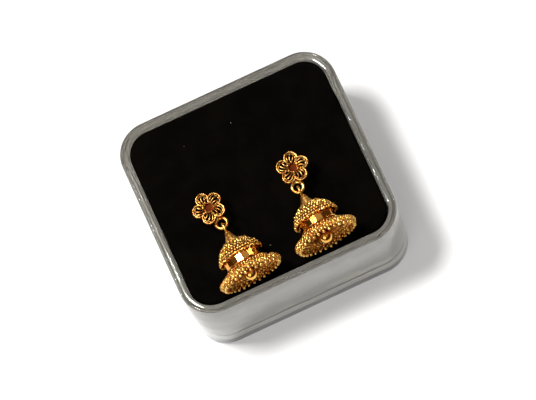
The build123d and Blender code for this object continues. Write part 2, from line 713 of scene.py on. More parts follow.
def shader_group(
    name: str,
    inputs: Sequence[GroupSocket],
    outputs: Sequence[GroupSocket],
    wire_up: Callable[[NodeDesk, Node, Node], None],
) -> NodeTree:
    """Gives the node group of a shared effect, made the first time that it is asked for.

    Args:
        name: Name of the effect.
        inputs: Its inputs after Vector, which every effect has.
        outputs: Its outputs.
        wire_up: Function that fills the group between its input and output nodes.

    Returns:
        The group.
    """
    known = bpy.data.node_groups.get(name)
    if known is not None:
        return known
    group = bpy.data.node_groups.new(name, "ShaderNodeTree")
    vector = GroupSocket("Vector", kind="NodeSocketVector")
    for direction, sockets in (("INPUT", (vector, *inputs)), ("OUTPUT", outputs)):
        for item in sockets:
            made = group.interface.new_socket(name=item.name, in_out=direction, socket_type=item.kind)
            if item.value is not None:
                made.default_value = item.value
    desk = NodeDesk(group)
    wire_up(desk, desk.add("NodeGroupInput"), desk.add("NodeGroupOutput"))
    return group


def tone_group() -> NodeTree:
    """Effect of handling: a colour that drifts to a deeper one, and a gloss that drifts with it.

    Returns:
        The effect's node group.
    """

    def wire_up(desk: NodeDesk, entry: Node, leave: Node) -> None:
        """Fills the group.

        Args:
            desk: Node desk of the group.
            entry: Its input node.
            leave: Its output node.
        """
        given = entry.outputs
        texture = desk.add("ShaderNodeTexNoise")
        desk.feed(texture, Vector=given["Vector"], Scale=given["Scale"], Detail=3.0)
        drift = texture.outputs["Fac"]
        mask = desk.ramp(drift, From_Min=DRIFT_RANGE[0], From_Max=DRIFT_RANGE[1])
        colour = desk.blend(mask, given["Bright"], given["Deep"])
        rough = desk.ramp(drift, To_Min=given["Least Roughness"], To_Max=given["Most Roughness"])
        desk.feed(leave, Color=colour, Roughness=rough)

    inputs = (
        GroupSocket("Scale", 300.0),
        GroupSocket("Bright", kind="NodeSocketColor"),
        GroupSocket("Deep", kind="NodeSocketColor"),
        GroupSocket("Least Roughness", 0.1),
        GroupSocket("Most Roughness", 0.3),
    )
    outputs = (GroupSocket("Color", kind="NodeSocketColor"), GroupSocket("Roughness"))
    return shader_group("handled_tone", inputs, outputs, wire_up)


def relief_group() -> NodeTree:
    """Effect of a worked surface: small rounded lumps over a finer tooth.

    Returns:
        The effect's node group.
    """

    def wire_up(desk: NodeDesk, entry: Node, leave: Node) -> None:
        """Fills the group.

        Args:
            desk: Node desk of the group.
            entry: Its input node.
            leave: Its output node.
        """
        given = entry.outputs
        lumps = desk.add("ShaderNodeTexVoronoi", feature="SMOOTH_F1")
        desk.feed(lumps, Vector=given["Vector"], Scale=given["Scale"])
        tooth = desk.add("ShaderNodeTexNoise")
        finer = desk.maths("MULTIPLY", given["Scale"], TOOTH_FINENESS)
        desk.feed(tooth, Vector=given["Vector"], Scale=finer, Detail=2.0)
        domes = desk.maths("SUBTRACT", 1.0, lumps.outputs["Distance"])
        toothed = desk.maths("MULTIPLY", tooth.outputs["Fac"], given["Tooth"])
        desk.feed(leave, Height=desk.maths("ADD", domes, toothed))

    inputs = (GroupSocket("Scale", 2000.0), GroupSocket("Tooth", 0.3))
    return shader_group("worked_relief", inputs, (GroupSocket("Height"),), wire_up)


def dust_group() -> NodeTree:
    """Effect of dust: a few small pale specks.

    Returns:
        The effect's node group.
    """

    def wire_up(desk: NodeDesk, entry: Node, leave: Node) -> None:
        """Fills the group.

        Args:
            desk: Node desk of the group.
            entry: Its input node.
            leave: Its output node.
        """
        given = entry.outputs
        cells = desk.add("ShaderNodeTexVoronoi")
        desk.feed(cells, Vector=given["Vector"], Scale=given["Scale"])
        near = desk.maths("LESS_THAN", cells.outputs["Distance"], given["Size"])
        pick = desk.feed(desk.add("ShaderNodeSeparateColor"), Color=cells.outputs["Color"])
        chosen = desk.maths("LESS_THAN", pick.outputs[0], given["Share"])
        desk.feed(leave, Mask=desk.maths("MULTIPLY", near, chosen))

    inputs = (GroupSocket("Scale", 300.0), GroupSocket("Size", 0.05), GroupSocket("Share", 0.05))
    return shader_group("dust_specks", inputs, (GroupSocket("Mask"),), wire_up)


# ---------------------------------------------------------------------------
# Finishes
# ---------------------------------------------------------------------------


class MaterialDesk(NodeDesk):
    """Node desk of a new material, with the steps that the finishes share."""

    def __init__(self, name: str) -> None:
        """Starts the material with its coordinates, shader and output.

        Args:
            name: Name of the material.
        """
        self.material = bpy.data.materials.new(name)
        self.material.use_nodes = True
        super().__init__(self.material.node_tree)
        self.tree.nodes.clear()
        self.coordinates = self.add("ShaderNodeTexCoord").outputs["Object"]
        self.shader = self.add("ShaderNodeBsdfPrincipled")
        self.feed(self.add("ShaderNodeOutputMaterial"), Surface=self.shader.outputs[0])

    def tone(self, scale: float, bright: Colour, deep: Colour, roughness: Point) -> NodeSocket:
        """Gives the shader the drifting gloss, and gives back the drifting colour.

        Args:
            scale: How close together the changes lie.
            bright: Colour to start from.
            deep: Colour that it drifts to.
            roughness: Least and most roughness.

        Returns:
            The colour.
        """
        tone = self.effect(
            tone_group(),
            Vector=self.coordinates,
            Scale=scale,
            Bright=opaque(bright),
            Deep=opaque(deep),
            Least_Roughness=roughness[0],
            Most_Roughness=roughness[1],
        )
        self.feed(self.shader, Roughness=tone.outputs["Roughness"])
        return tone.outputs["Color"]

    def relief(self, scale: float, tooth: float) -> NodeSocket:
        """Height of the worked relief."""
        made = self.effect(relief_group(), Vector=self.coordinates, Scale=scale, Tooth=tooth)
        return made.outputs["Height"]

    def bump(self, height: NodeSocket, depth: float, strength: float = 1.0) -> None:
        """Shades the surface as if it had a relief.

        Args:
            height: Height of the relief, from 0 to about 1.
            depth: Depth in millimetres that a height of 1 stands for.
            strength: Share of the relief that shows.
        """
        bump = self.add("ShaderNodeBump")
        self.feed(bump, Height=height, Strength=strength, Distance=depth * MM)
        self.feed(self.shader, Normal=bump.outputs[0])


@dataclass(frozen=True)
class GoldFinish:
    """Gold, from mirror polish to a worked matt ground, with or without painted shade in its recesses.
    """

    name: str
    bright: Colour
    deep: Colour
    roughness: Point
    tone_scale: float = 350.0
    relief: Point | None = None  # scale and depth
    tooth: float = 0.3
    # Painted shade: a colour laid in the recesses by an ambient occlusion node, how far the node looks
    # in millimetres, and the occlusion range over which the shade fades out.
    recess_shade: Colour | None = None
    recess_shade_reach: float = 0.45
    recess_shade_range: Point = (0.38, 0.78)

    def material(self) -> Material:
        """Makes the material.

        Returns:
            The material.
        """
        desk = MaterialDesk(self.name)
        colour = desk.tone(self.tone_scale, self.bright, self.deep, self.roughness)
        if self.recess_shade is not None:
            # Painted shade: the colour goes to the shade colour where the ambient occlusion finds the
            # piece close about the surface.
            shade_occlusion = desk.add("ShaderNodeAmbientOcclusion", samples=6, only_local=True)
            desk.feed(shade_occlusion, Distance=self.recess_shade_reach * MM)
            least, most = self.recess_shade_range
            share = desk.ramp(shade_occlusion.outputs["AO"], From_Min=least, From_Max=most)
            colour = desk.blend(share, opaque(self.recess_shade), colour)
        desk.feed(desk.shader, Base_Color=colour, Metallic=1.0)
        if self.relief is not None:
            scale, depth = self.relief
            desk.bump(desk.relief(scale, self.tooth), depth)
        return desk.material


@dataclass(frozen=True)
class PlasticFinish:
    """Clear moulded plastic with a smoky cast, soft ripples and light handling marks."""

    name: str
    colour: Colour
    roughness: Point
    ripple_scale: float
    ripple_depth: float
    tone_scale: float = 120.0
    deepening: float = 0.93
    index: float = 1.49

    def material(self) -> Material:
        """Makes the material.

        Returns:
            The material.
        """
        desk = MaterialDesk(self.name)
        deep = tuple(self.deepening * value for value in self.colour)
        colour = desk.tone(self.tone_scale, self.colour, deep, self.roughness)
        ripple = desk.add("ShaderNodeTexNoise")
        desk.feed(ripple, Vector=desk.coordinates, Scale=self.ripple_scale, Detail=1.0)
        desk.bump(ripple.outputs["Fac"], self.ripple_depth)
        desk.feed(desk.shader, Base_Color=colour, Transmission_Weight=1.0, IOR=self.index)
        return desk.material


@dataclass(frozen=True)
class FoamFinish:
    """Black napped foam with a few specks of dust."""

    name: str
    colour: Colour
    worn: Colour
    dust: Colour
    nap_scale: float
    nap_depth: float
    nap_strength: float = 0.7
    roughness: Point = (0.85, 1.0)
    tone_scale: float = 160.0
    dust_scale: float = 520.0
    dust_size: float = 0.075
    dust_share: float = 0.05

    def material(self) -> Material:
        """Makes the material.

        Returns:
            The material.
        """
        desk = MaterialDesk(self.name)
        colour = desk.tone(self.tone_scale, self.colour, self.worn, self.roughness)
        dust = desk.effect(
            dust_group(),
            Vector=desk.coordinates,
            Scale=self.dust_scale,
            Size=self.dust_size,
            Share=self.dust_share,
        )
        colour = desk.blend(dust.outputs["Mask"], colour, opaque(self.dust))
        desk.bump(desk.relief(self.nap_scale, tooth=1.0), self.nap_depth, self.nap_strength)
        desk.feed(desk.shader, Base_Color=colour, Specular_IOR_Level=0.0)
        return desk.material


@dataclass(frozen=True)
class FloorFinish:
    """Pale matt studio floor."""

    name: str
    colour: Colour
    glow: float
    roughness: Point = (0.7, 0.8)
    tone_scale: float = 4.0
    deepening: float = 0.985

    def material(self) -> Material:
        """Makes the material.

        Returns:
            The material.
        """
        desk = MaterialDesk(self.name)
        deep = tuple(self.deepening * value for value in self.colour)
        colour = desk.tone(self.tone_scale, self.colour, deep, self.roughness)
        white = (1.0, 1.0, 1.0, 1.0)
        desk.feed(desk.shader, Base_Color=colour, Emission_Color=white, Emission_Strength=self.glow)
        return desk.material


class Palette:
    """All finishes of the object, each made once."""

    def __init__(self) -> None:
        """Makes the materials."""
        gold = (0.98, 0.62, 0.155)
        warm = (0.80, 0.34, 0.055)
        aged = (0.50, 0.165, 0.020)
        # Near-black gold for painted shade: the shade in recesses, and the deep end of the shaded ground
        # and inside golds.
        dark = (0.08, 0.016, 0.003)
        self.filigree = GoldFinish(
            "gold_filigree_wire",
            bright=(0.43, 0.235, 0.06),
            deep=(0.14, 0.04, 0.006),
            roughness=(0.22, 0.38),
            tone_scale=1200.0,
            recess_shade=dark,
        ).material()
        self.wirework = GoldFinish(
            "gold_wirework",
            bright=(0.70, 0.40, 0.105),
            deep=(0.30, 0.09, 0.012),
            roughness=(0.25, 0.38),
            tone_scale=650.0,
        ).material()
        self.granules = GoldFinish(
            "gold_granules", gold, aged, roughness=(0.19, 0.36), tone_scale=1300.0, recess_shade=dark
        ).material()
        # Gold darkened to a deep brown for the ground between the grains and for the flower's cup:
        # painted shade between the grains.
        self.ground = GoldFinish(
            "gold_ground_painted_shade",
            bright=(0.26, 0.07, 0.011),
            deep=dark,
            roughness=(0.35, 0.5),
            tone_scale=1500.0,
            relief=(3200.0, 0.05),
        ).material()
        self.skin = GoldFinish(
            "gold_cone_skin",
            bright=(0.90, 0.55, 0.14),
            deep=aged,
            roughness=(0.26, 0.36),
            tone_scale=1500.0,
            relief=(2600.0, 0.06),
        ).material()
        self.mirror = GoldFinish(
            "gold_mirror_band", (0.95, 0.44, 0.09), warm, roughness=(0.03, 0.09), tone_scale=120.0
        ).material()
        # A darker gold for the bowl's shell and the petal walls: painted shade inside the bell and on
        # the walls' sides, with more painted shade in the recesses.
        self.inside = GoldFinish(
            "gold_inside_painted_shade",
            bright=(0.55, 0.19, 0.028),
            deep=dark,
            roughness=(0.2, 0.4),
            tone_scale=1100.0,
            relief=(1800.0, 0.10),
            recess_shade=dark,
        ).material()
        # Near-black gold for the cup's floor: a painted reflection of the dim room that the polished
        # floor would show.
        self.cup = GoldFinish(
            "gold_cup_floor_painted_reflection", (0.030, 0.0058, 0.0014), (0.022, 0.0042, 0.0010), roughness=(0.45, 0.6)
        ).material()
        self.polish = GoldFinish("gold_ball_polish", gold, warm, roughness=(0.05, 0.12)).material()
        self.plastic = PlasticFinish(
            "clear_moulded_plastic",
            colour=(0.58, 0.555, 0.49),
            roughness=(0.02, 0.09),
            ripple_scale=90.0,
            ripple_depth=0.25,
        ).material()
        self.foam = FoamFinish(
            "black_napped_foam",
            colour=(0.0014, 0.0011, 0.0009),
            worn=(0.0019, 0.0015, 0.0012),
            dust=(0.10, 0.09, 0.08),
            nap_scale=5200.0,
            nap_depth=0.06,
        ).material()
        self.floor = FloorFinish("studio_floor", (0.52, 0.52, 0.52), glow=0.27).material()


# ---------------------------------------------------------------------------
# Places
# ---------------------------------------------------------------------------


@dataclass(frozen=True)
class Place:
    """Where one earring is pinned, with the turns of its flower and its bell in degrees."""

    side: Side
    x: float
    y: float
    flower_turn: float
    bell_turn: float
    bell_dip: float
    bell_slip: float
    spin: float
    flower_height: float = 7.6
    flower_tilt: float = 3.0
    ring_reach: float = 5.3
    ring_drop: float = 0.2

    def stud_frame(self, pad_top: float) -> Matrix:
        """Frame of the petals, in millimetres, with the ring towards -Y and Z out of the front."""
        origin = Matrix.Translation((self.x, self.y, pad_top + self.flower_height))
        return origin @ turned(self.flower_tilt, "X") @ turned(self.flower_turn)

    def bell_frame(self, pad_top: float) -> Matrix:
        """Frame of the bell, with its origin near the ring's centre.

        Args:
            pad_top: Height of the pad's top.

        Returns:
            The frame, in millimetres, with Y away from the pad and Z along the axis to the mouth.
        """
        turn = math.radians(self.bell_turn)
        dip = math.radians(self.bell_dip)
        across = Vector((math.cos(turn), math.sin(turn), 0))
        along = Vector((math.sin(turn) * math.cos(dip), -math.cos(turn) * math.cos(dip), -math.sin(dip)))
        origin = self.stud_frame(pad_top) @ Vector((0, -self.ring_reach, -self.ring_drop))
        return frame_of(origin + along * self.bell_slip, across, along.cross(across), along)


PLACES = (
    Place(
        side=Side.LEFT,
        x=-14.2,
        y=-3.0,
        flower_turn=15.0,
        bell_turn=5.7,
        bell_dip=3.0,
        bell_slip=0.3,
        spin=-2.1,
    ),
    Place(
        side=Side.RIGHT,
        x=9.7,
        y=-2.7,
        flower_turn=-10.5,
        bell_turn=5.0,
        bell_dip=0.0,
        bell_slip=0.0,
        spin=0.8,
    ),
)


def to_row(frame_mm: Matrix) -> Matrix:
    """Matrix from a frame in millimetres to the row frame in metres."""
    return Matrix.Scale(MM, 4) @ frame_mm


# ---------------------------------------------------------------------------
# Box and pad
# ---------------------------------------------------------------------------


@dataclass
class ClearBox:
    """Open moulded box with an inner ledge under the pad."""

    width: float
    depth: float
    height: float
    ledge_top: float
    corner: float = 8.8
    wall: float = 2.1
    floor: float = 2.0
    ledge: float = 1.0
    lip: float = 1.0
    lip_step: float = 0.3
    rim_round: float = 0.5
    base_round: float = 1.2
    inner_round: float = 0.3
    corner_segments: int = 14
    least_fold: float = math.radians(60)

    def build(self, palette: Palette) -> None:
        """Makes the box from a rounded block, sunk in three steps.

        Args:
            palette: The object's finishes.
        """
        bm = rounded_slab(self.width, self.depth, 0, self.height, self.corner, self.corner_segments)
        top = max(bm.faces, key=lambda face: face.calc_center_median().z)
        top = self.sink(bm, top, self.lip, self.lip_step)
        top = self.sink(bm, top, self.wall - self.lip, self.height - self.lip_step - self.ledge_top)
        self.sink(bm, top, self.ledge, self.ledge_top - self.floor)
        for height, radius, segments in (
            (self.height, self.rim_round, 4),
            (self.height - self.lip_step, self.lip_step / 2, 2),
            (0.0, self.base_round, 5),
            (self.floor, self.inner_round, 2),
            (self.ledge_top, self.inner_round / 2, 2),
        ):
            self.round_level(bm, height, radius, segments)
        bmesh.ops.recalc_face_normals(bm, faces=bm.faces)
        piece = Joiner(bm).piece(
            "clear_box_shell", to_row(Matrix()), [palette.plastic], Slot.CLEAR_PLASTIC, ["clear_box"]
        )
        for polygon in piece.data.polygons:
            polygon.use_smooth = len(polygon.vertices) == 4

    def sink(self, bm: BMesh, face: BMFace, margin: float, depth: float) -> BMFace:
        """Sinks a face inside a margin.

        Args:
            bm: Mesh to change.
            face: Level face to sink.
            margin: Width that stays at its level.
            depth: How far the rest goes down.

        Returns:
            The sunk face.
        """
        bmesh.ops.inset_region(bm, faces=[face], thickness=margin, use_even_offset=True)
        made = bmesh.ops.extrude_face_region(bm, geom=[face])["geom"]
        bmesh.ops.delete(bm, geom=[face], context="FACES_ONLY")
        bmesh.ops.translate(bm, vec=(0, 0, -depth), verts=only(BMVert, made))
        return only(BMFace, made)[0]

    def round_level(self, bm: BMesh, height: float, radius: float, segments: int) -> None:
        """Rounds the sharp edges at one height.

        Args:
            bm: Mesh to change.
            height: Height of the edges.
            radius: Radius of the rounding.
            segments: Number of steps round it.
        """
        level = [
            edge
            for edge in bm.edges
            if all(abs(vert.co.z - height) < SAME_LEVEL for vert in edge.verts)
            and edge.is_manifold
            and edge.calc_face_angle() > self.least_fold
        ]
        round_edges(bm, level, radius, segments)


@dataclass
class BellHollow:
    """Hollow that one bell presses in the foam."""

    frame: Matrix
    outline: tuple[Point, ...] = ((12.5, 5.7), (13.96, 9.17), (16.64, 9.17), (19.1, 6.4))
    softness: float = 0.3

    def radius_at(self, along: float) -> float:
        """Radius of the hollow at one place along it.

        Args:
            along: Distance along the bell's axis.

        Returns:
            The radius, or 0 past the hollow's ends.
        """
        for (first, low), (second, high) in zip(self.outline, self.outline[1:]):
            if first <= along <= second:
                return low + (high - low) * (along - first) / (second - first)
        return 0.0

    def depth_at(self, x: float, y: float, top: float) -> float:
        """How far the foam is pressed down.

        Args:
            x: Place across the pad.
            y: Place along it.
            top: Height of the flat foam.

        Returns:
            The depth, which fades softly at the hollow's edge.
        """
        height = top
        inverse = self.frame.inverted()
        for _ in range(2):  # the second pass looks from the depth that the first one finds
            local = inverse @ Vector((x, y, height))
            radius = self.radius_at(local.z)
            if abs(local.x) >= radius:
                return 0.0
            lowest = -math.sqrt(radius * radius - local.x * local.x)
            height = (self.frame @ Vector((local.x, lowest, local.z))).z
        sunk = top - height
        return 0.5 * (sunk + math.hypot(sunk, self.softness))


@dataclass
class FoamPad:
    """Black foam pad with soft edges, a hollow under each bell and a pinched hole for each post."""

    width: float
    depth: float
    top: float
    bottom: float
    corner: float = 6.4
    cells_across: int = 168
    cells_along: int = 152
    edge_round: float = 0.75
    edge_lip: float = 0.1
    side_levels: tuple[float, ...] = (0.35, 0.7, 1.0)
    wave: float = 0.07
    wave_length: float = 9.0
    edge_wave: float = 0.16
    edge_wave_length: float = 6.0
    edge_wave_reach: float = 3.0
    edge_wave_layer: float = 3.0
    crease_inset: float = 8.0
    crease_width: float = 0.35
    crease_depth: float = 0.22
    crease_reach: float = 15.0
    crease_fade: int = 4
    crease_wander: float = 0.4
    crease_wander_length: float = 5.0
    crease_layer: float = 7.0
    pinch_depth: float = 0.55
    pinch_radius: float = 1.0
    hole_radius: float = 0.54
    hole_sides: int = 20

    def build(self, palette: Palette, places: Sequence[Place]) -> None:
        """Makes the pad.

        Args:
            palette: The object's finishes.
            places: Where the earrings are pinned.
        """
        bm = bmesh.new()
        bmesh.ops.create_grid(
            bm,
            x_segments=self.cells_across,
            y_segments=self.cells_along,
            size=0.5,
            matrix=Matrix.Diagonal((self.width, self.depth, 1, 1)),
        )
        hollows = [BellHollow(place.bell_frame(self.top)) for place in places]
        posts = [self.post_foot(place) for place in places]
        for vert in bm.verts:
            vert.co = self.rounded(vert.co.x, vert.co.y)
            vert.co.z = self.height_at(vert.co.x, vert.co.y, hollows, posts)
        rim = [edge for edge in bm.edges if edge.is_boundary]
        start = self.top - self.edge_round
        for level in self.side_levels:
            made = bmesh.ops.extrude_edge_only(bm, edges=rim)["geom"]
            rim = only(BMEdge, made)
            for vert in only(BMVert, made):
                vert.co.z = start + (self.bottom - start) * level
        bmesh.ops.contextual_create(bm, geom=rim)
        bmesh.ops.recalc_face_normals(bm, faces=bm.faces)
        piece = Joiner(bm).piece(
            "foam_pad_cover", to_row(Matrix()), [palette.foam], Slot.BLACK_FOAM, ["foam_pad"]
        )
        for place in places:
            self.pierce(piece, place)

    def rounded(self, x: float, y: float) -> Vector:
        """Moves a point of the full rectangle into the one with rounded corners and a soft edge.

        Args:
            x: Place across the rectangle.
            y: Place along it.

        Returns:
            The moved point.
        """
        near_x = self.width / 2 - self.corner
        near_y = self.depth / 2 - self.corner
        u = (abs(x) - near_x) / self.corner
        v = (abs(y) - near_y) / self.corner
        if u > 0 and v > 0:
            x = math.copysign(near_x + self.corner * u * math.sqrt(1 - v * v / 2), x)
            y = math.copysign(near_y + self.corner * v * math.sqrt(1 - u * u / 2), y)
        inside = self.edge_distance(x, y)
        wave = noise.noise(Vector((x, y, self.edge_wave_layer)) / self.edge_wave_length) + 1.0
        pull = self.edge_wave * wave * max(0.0, 1 - inside / self.edge_wave_reach)
        return Vector((x, y, 0)) * (1 - 2 * pull / self.width)

    def edge_distance(self, x: float, y: float) -> float:
        """Distance from a point out to the pad's edge.

        Args:
            x: Place across the pad.
            y: Place along it.

        Returns:
            The distance, which is below 0 outside the pad.
        """
        u = abs(x) - (self.width / 2 - self.corner)
        v = abs(y) - (self.depth / 2 - self.corner)
        return self.corner - math.hypot(max(u, 0), max(v, 0)) - min(max(u, v), 0)

    def height_at(
        self, x: float, y: float, hollows: Sequence[BellHollow], posts: Sequence[Vector]
    ) -> float:
        """Height of the foam's top.

        Args:
            x: Place across the pad.
            y: Place along it.
            hollows: Hollows under the bells.
            posts: Where the posts go in.

        Returns:
            The height.
        """
        inside = min(max(self.edge_distance(x, y) - self.edge_lip, 0.0), self.edge_round)
        drop = self.edge_round - math.sqrt(self.edge_round**2 - (self.edge_round - inside) ** 2)
        lift = noise.noise(Vector((x, y, 0)) / self.wave_length)
        drop += self.wave * (1 - lift) / 2
        wander = noise.noise(Vector((x / self.crease_wander_length, self.crease_layer, 0)))
        from_crease = y - (self.depth / 2 - self.crease_inset) - self.crease_wander * wander
        fade = max(0.0, 1 - (abs(x) / self.crease_reach) ** self.crease_fade)
        drop += self.crease_depth * fade * math.exp(-((from_crease / self.crease_width) ** 2))
        for post in posts:
            away = math.hypot(x - post.x, y - post.y) / self.pinch_radius
            drop += self.pinch_depth * math.exp(-away * away)
        pressed = max(hollow.depth_at(x, y, self.top) for hollow in hollows)
        return self.top - max(drop, pressed)

    def post_foot(self, place: Place) -> Vector:
        """Where an earring's post meets the top of the pad.

        Args:
            place: Where the earring is pinned.

        Returns:
            The point on the post's middle line.
        """
        stud = place.stud_frame(self.top)
        axis = stud.col[2].to_3d()
        origin = stud.col[3].to_3d()
        return origin - axis * ((origin.z - self.top) / axis.z)

    def pierce(self, piece: Object, place: Place) -> None:
        """Cuts the hole of one post.

        Args:
            piece: The pad.
            place: Where the earring is pinned.
        """
        bm = bmesh.new()
        thickness = self.top - self.bottom
        bmesh.ops.create_cone(
            bm,
            cap_ends=True,
            segments=self.hole_sides,
            radius1=self.hole_radius,
            radius2=self.hole_radius,
            depth=2 * thickness,
        )
        middle = Matrix.Translation((0, 0, -place.flower_height - thickness / 2))
        bmesh.ops.transform(bm, matrix=to_row(place.stud_frame(self.top) @ middle), verts=bm.verts)
        mesh = finished_mesh(bm, "post_hole")
        cutter = linked("post_hole", mesh)
        cut = piece.modifiers.new("post_hole", "BOOLEAN")
        cut.operation = "DIFFERENCE"
        cut.solver = "EXACT"
        cut.object = cutter
        depsgraph = bpy.context.evaluated_depsgraph_get()
        finished = bpy.data.meshes.new_from_object(piece.evaluated_get(depsgraph))
        piece.modifiers.clear()
        piece.data = finished
        bpy.data.objects.remove(cutter)
        bpy.data.meshes.remove(mesh)


# ---------------------------------------------------------------------------
# Earring
# ---------------------------------------------------------------------------


@dataclass
class EarringPart:
    """Part of one earring, at its place on the pad."""

    place: Place
    pad_top: float
    palette: Palette
    slot: ClassVar[Slot]

    def build(self) -> None:
        """Makes the part's pieces."""
        raise NotImplementedError

    def here(self) -> Matrix:
        """Place of the part in the row frame, along the bell's axis."""
        return to_row(self.place.bell_frame(self.pad_top))

    def noise_start(self) -> Vector:
        """Place in the noise where the part's origin falls."""
        return Vector((0, 0, self.place.x))

    def show(self, made: Joiner, name: str, materials: Sequence[Material], node: str = "") -> None:
        """Makes one piece of the part.

        Args:
            made: What the piece consists of.
            name: Name of the piece, without the earring's side.
            materials: Its finishes, in the order of their indices.
            node: CAD node that it stands for, without the earring's side.
        """
        side = self.place.side.value
        replaces = [f"{side}_{node}"] if node else []
        made.piece(f"{side}_{name}", self.here(), materials, self.slot, replaces)


class FlowerFinish(IntEnum):
    """Finishes of the flower, in the order of its materials."""

    WIRE = 0
    # The cup's floor carries a painted reflection, and the cup and the petal walls carry painted shade.
    CUP_FLOOR = 1
    CUP = 2
    GRANULE = 3
    PETAL_WALL = 4


@dataclass
class Stud(EarringPart):
    """Filigree flower with its cup, granules, ring and ear post."""

    slot: ClassVar[Slot] = Slot.GOLD_FILIGREE
    petals: int = 5
    petal_reach: float = 2.55
    petal_radius: float = 1.6
    petal_wire: float = 0.25
    petal_wire_height: float = 1.15
    petal_gap: float = 26.0
    petal_steps: int = 40
    inner_rim: float = 1.17
    inner_spread: float = 1.9
    inner_wire: float = 0.2
    inner_sink: float = 0.12
    inner_steps: int = 32
    wall_radius: float = 1.76
    wall_drop: float = 0.8
    wall_stretch: float = 4.5
    wall_wire: float = 0.16
    swirls: tuple[Point, ...] = ((-10.0, -24.0), (8.0, -10.0), (26.0, 6.0))
    swirl_wire: float = 0.21
    swirl_radius: float = 2.4
    swirl_arch: float = 0.28
    swirl_overlap: float = 0.1
    swirl_steps: int = 14
    cup_radius: float = 1.3
    cup_wall: float = 0.28
    cup_depth: float = 0.95
    cup_floor: float = 0.3
    cup_base_round: float = 0.12
    cup_lip_round: float = 0.08
    cup_lip_side: float = 0.06
    cup_lip_rise: float = 0.02
    cup_flat: float = 0.8
    cup_steps: int = 48
    granule: float = 0.33
    granule_rise: float = 0.36
    granule_rings: tuple[tuple[int, float, float], ...] = ((6, 1.4, 0.0), (5, 2.1, 36.0))
    ring_radius: float = 1.44
    ring_wire: float = 0.44
    ring_steps: int = 56
    hammering: float = 0.1
    hammer_length: float = 0.7
    ring_bend: float = 0.5
    bend_start: float = 0.2
    solder_radius: float = 0.5
    solder_reach: float = 0.1
    solder_squash: float = 0.8
    post_radius: float = 0.42
    post_length: float = 10.5
    post_seat: float = 0.05
    post_tip: float = 0.7
    tip_shares: Point = (0.5, 0.38)
    tip_round: float = 0.06
    post_steps: int = 24

    def here(self) -> Matrix:
        """Place of the flower in the row frame."""
        return to_row(self.place.stud_frame(self.pad_top))

    def build(self) -> None:
        """Makes the flower, the ring and the ear post."""
        self.flower()
        self.ring()
        self.post()

    def flower(self) -> None:
        """Makes the petals, their swirls, the cup and the granules."""
        flower = Joiner()
        outwards = math.pi / 2
        gap = math.radians(self.petal_gap)
        centre = (0.0, self.petal_reach)
        start, end = outwards - math.pi + gap, outwards + math.pi - gap
        rim = arc_path(centre, self.petal_radius, start, end, self.petal_steps)
        self.add_petals(flower, wire(rim, self.petal_wire, sides=10, height=self.petal_wire_height))
        inner_ends = outwards - self.inner_spread, outwards + self.inner_spread
        inner_rim = arc_path(centre, self.inner_rim, *inner_ends, self.inner_steps)
        self.add_petals(flower, wire(inner_rim, self.inner_wire), self.inner_sink)
        # The wall under the petals takes the darker inside gold, which is painted shade on its sides.
        skirt = arc_path(centre, self.wall_radius, start, end, self.petal_steps)
        wall = wire(skirt, self.wall_wire, height=self.wall_stretch)
        self.add_petals(flower, wall, self.wall_drop, FlowerFinish.PETAL_WALL)
        for inner_turn, outer_turn in self.swirls:
            self.add_petals(flower, wire(self.swirl_path(inner_turn, outer_turn), self.swirl_wire))
        self.add_cup(flower)
        for count, reach, angle in self.granule_rings:
            grain = ball(Vector((0, reach, self.granule_rise)), self.granule, fineness=3)
            flower.add(repeat_round(grain, count), turned(angle), FlowerFinish.GRANULE)
        # The cup's floor takes a painted reflection, and the cup and the petal walls take painted shade.
        finishes = self.palette
        materials = [finishes.filigree, finishes.cup, finishes.ground, finishes.skin, finishes.inside]
        self.show(flower, "flower", materials, "stud")

    def add_petals(
        self, flower: Joiner, shape: BMesh, sink: float = 0.0, finish: int = FlowerFinish.WIRE
    ) -> None:
        """Adds a shape to every petal.

        Args:
            flower: What it is added to.
            shape: The shape, as it is in the first petal.
            sink: How far it lies below the middle of the petals' wires.
            finish: Index of its finish.
        """
        level = Matrix.Translation((0, 0, -self.petal_wire - sink))
        flower.add(repeat_round(shape, self.petals), level, finish)

    def add_cup(self, flower: Joiner) -> None:
        """Adds the small cup in the middle, with its floor in near-black gold, a painted reflection of
        the dim room.

        Args:
            flower: What it is added to.
        """
        outer = self.cup_radius
        inner = outer - self.cup_wall
        floor = self.cup_floor - self.cup_depth
        floor_edge = (inner, floor + self.cup_lip_rise)
        outline = [
            (0, -self.cup_depth),
            (outer - self.cup_base_round, -self.cup_depth),
            (outer, -self.cup_depth + self.cup_base_round),
            (outer, -self.cup_lip_side),
            (outer - self.cup_lip_round, self.cup_lip_rise),
            (inner + self.cup_lip_side, self.cup_lip_rise),
            (inner, -self.cup_lip_side),
            floor_edge,
        ]
        flower.add(revolve(outline, self.cup_steps, closed=False), finish=FlowerFinish.CUP)
        disc_outline = [floor_edge, (inner * self.cup_flat, floor), (0, floor)]
        disc = revolve(disc_outline, self.cup_steps, closed=False)
        if sum(face.normal.z for face in disc.faces) < 0:
            bmesh.ops.reverse_faces(disc, faces=disc.faces)
        flower.add(disc, finish=FlowerFinish.CUP_FLOOR)

